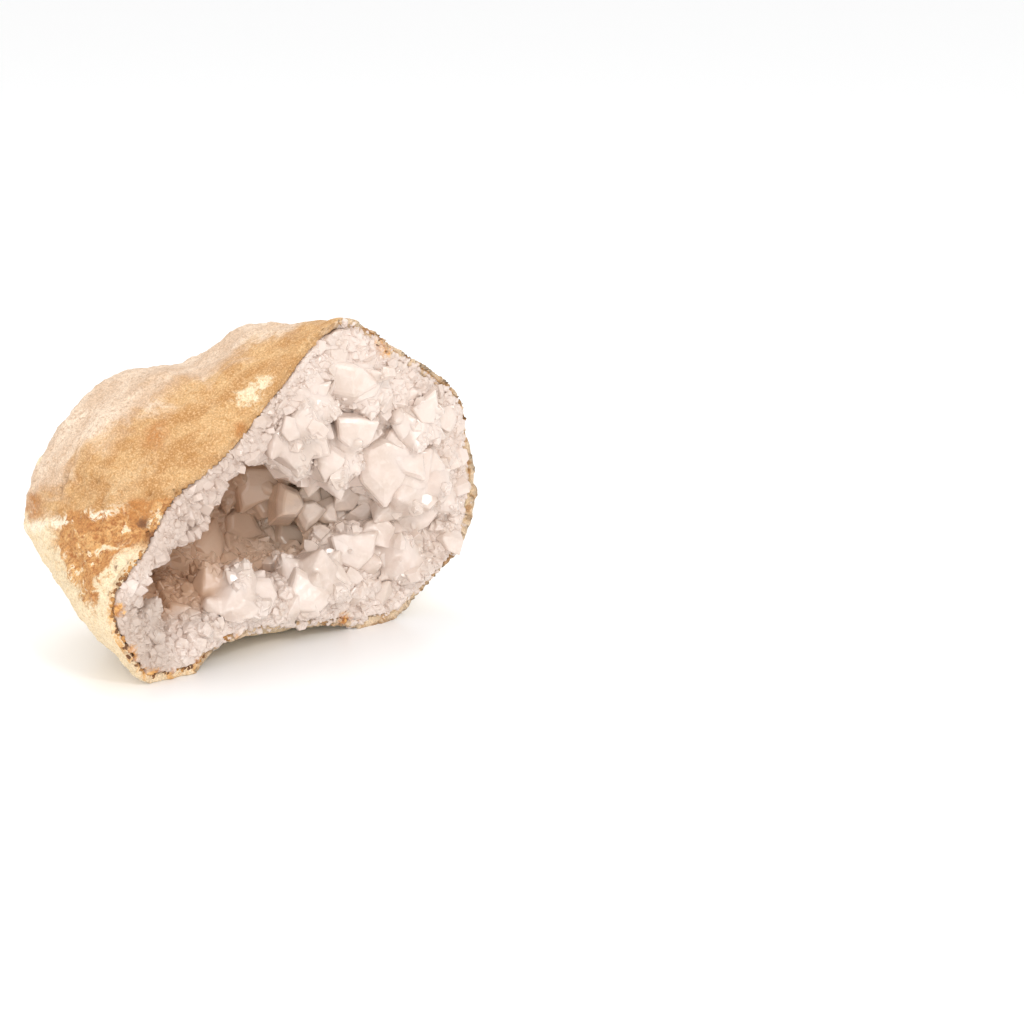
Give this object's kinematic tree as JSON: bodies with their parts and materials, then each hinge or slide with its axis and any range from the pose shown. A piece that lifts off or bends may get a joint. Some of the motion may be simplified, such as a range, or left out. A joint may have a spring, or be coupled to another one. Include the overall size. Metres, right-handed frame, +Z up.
{
  "type": "quartz geode half",
  "caption": "Natural geode half: a weathered limestone rind around a thick milky quartz lining, with clusters of quartz points in its open hollow.",
  "frame": {"origin": "middle of the stone's footprint box, on the surface it stands on", "axes": "+Z up; +X along the longest extent; the broken face with the hollow looks towards -Y and, by 42 degrees, towards +X"},
  "size_m": [0.113, 0.0974, 0.0842],
  "materials": {
    "limestone_rind": "matt, sandy, weathered",
    "milky_quartz": "waxy, granular fracture",
    "quartz_points": "glossy crystal faces"
  },
  "bodies": {
    "root": {"rind": "limestone_rind", "quartz_lining": "milky_quartz", "crystals_roof": "quartz_points", "crystals_roof_edge": "quartz_points", "crystals_crown": "quartz_points", "crystals_right_shoulder": "quartz_points", "crystals_right_wall": "quartz_points", "crystals_floor_right": "quartz_points", "crystals_floor_ridge": "quartz_points", "crystals_floor_middle": "quartz_points", "crystals_floor_left": "quartz_points", "crystals_left_corner": "quartz_points", "crystals_back_wall": "quartz_points"}
  },
  "joints": []
}
